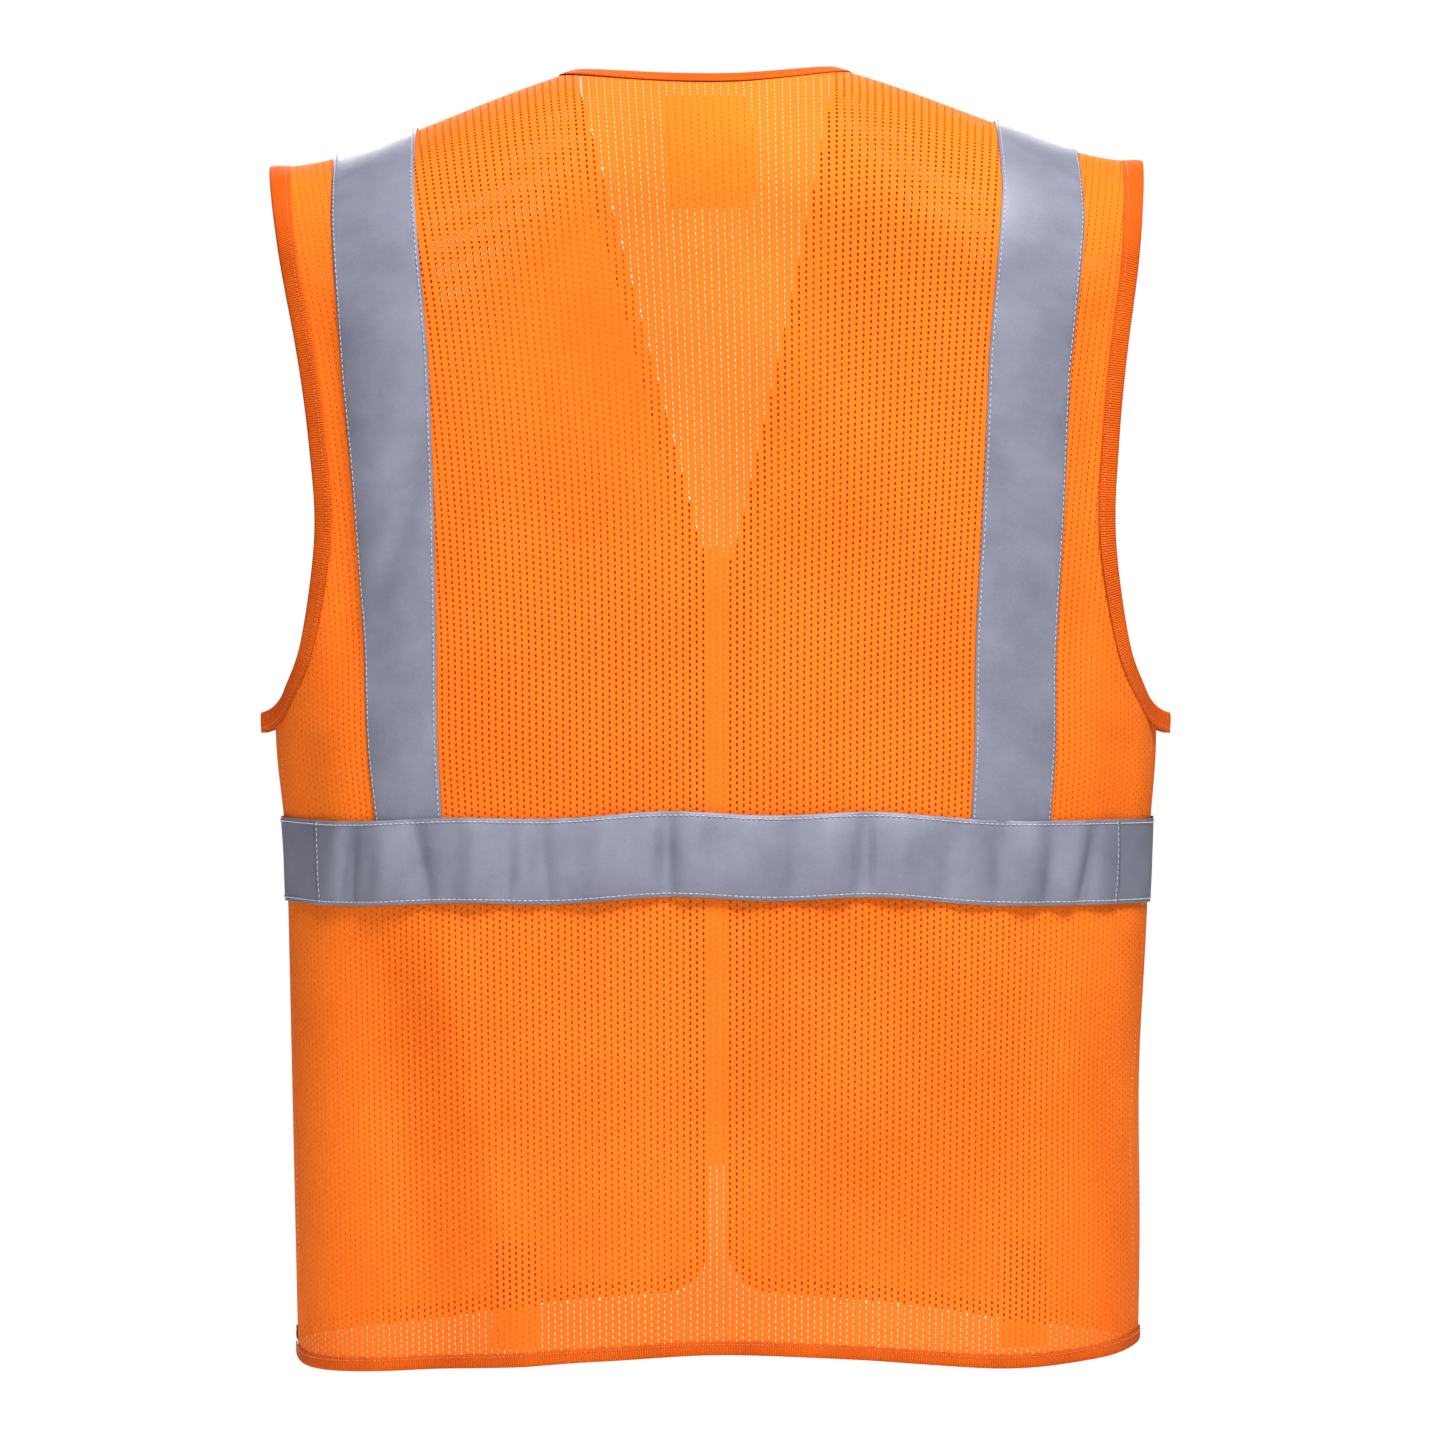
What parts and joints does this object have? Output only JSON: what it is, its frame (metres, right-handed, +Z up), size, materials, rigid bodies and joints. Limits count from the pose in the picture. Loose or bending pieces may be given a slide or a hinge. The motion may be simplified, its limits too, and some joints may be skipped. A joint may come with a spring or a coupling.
{
  "type": "high visibility vest",
  "caption": "Sleeveless V-neck safety vest of orange mesh with bound edges, reflective waist and shoulder tape, a zip front and fronts that fold open.",
  "frame": {"origin": "on the centre line, level with the seams beside the neck, where shoulders or a hanger carry the vest", "axes": "+Z up, the wearer faces -Y, the wearer's left is +X"},
  "size_m": [0.522, 0.2405, 0.7709],
  "materials": {
    "mesh": "fluorescent orange knitted polyester mesh",
    "binding": "orange ribbed knitted binding",
    "reflective_tape": "grey glass-bead reflective tape",
    "label": "woven satin label",
    "tab": "orange woven tab",
    "zip_tape": "herringbone woven tape",
    "zip_plastic": "moulded acetal",
    "zip_metal": "enamelled zinc"
  },
  "bodies": {
    "vest_back": {"armhole_binding_left": "binding", "armhole_binding_right": "binding", "back_panel": "mesh", "brace_tape_back_left": "reflective_tape", "brace_tape_back_right": "reflective_tape", "brace_tape_front_left": "reflective_tape", "brace_tape_front_right": "reflective_tape", "care_label": "label", "front_side_panel_left": "mesh", "front_side_panel_right": "mesh", "hem_binding_back": "binding", "hem_binding_side_left": "binding", "hem_binding_side_right": "binding", "hem_tab_left": "tab", "hem_tab_right": "tab", "neck_binding": "binding", "neck_label": "label", "waist_tape_back": "reflective_tape", "waist_tape_side_left": "reflective_tape", "waist_tape_side_right": "reflective_tape"},
    "front_left": {"front_panel_left": "mesh", "edge_binding_left": "binding", "waist_tape_front_left": "reflective_tape", "zip_tape_left": "zip_tape", "zip_teeth_left": "zip_plastic", "zip_top_stop_left": "zip_plastic", "zip_pin": "zip_plastic"},
    "front_right": {"front_panel_right": "mesh", "edge_binding_right": "binding", "waist_tape_front_right": "reflective_tape", "zip_tape_right": "zip_tape", "zip_teeth_right": "zip_plastic", "zip_top_stop_right": "zip_plastic", "zip_box": "zip_plastic"},
    "zip_slider": {"zip_slider": "zip_metal"},
    "zip_pull": {"zip_pull": "zip_metal"}
  },
  "joints": [
    {"name": "front_left_open", "type": "hinge", "parent": "vest_back", "child": "front_left", "pos_m": [0.058, -0.1207, -0.097], "axis": [-0.1382, -0.0212, 0.9902], "range_deg": [0, 150]},
    {"name": "front_right_open", "type": "hinge", "parent": "vest_back", "child": "front_right", "pos_m": [-0.058, -0.1207, -0.097], "axis": [-0.1382, 0.0212, -0.9902], "range_deg": [0, 150]},
    {"name": "zip_slide", "type": "slide", "parent": "front_right", "child": "zip_slider", "axis": [0, 0, -1], "range_m": [0, 0.3565]},
    {"name": "zip_pull_swing", "type": "hinge", "parent": "zip_slider", "child": "zip_pull", "pos_m": [0, -0.1189, -0.2908], "axis": [-1, 0, 0], "range_deg": [0, 165]}
  ]
}
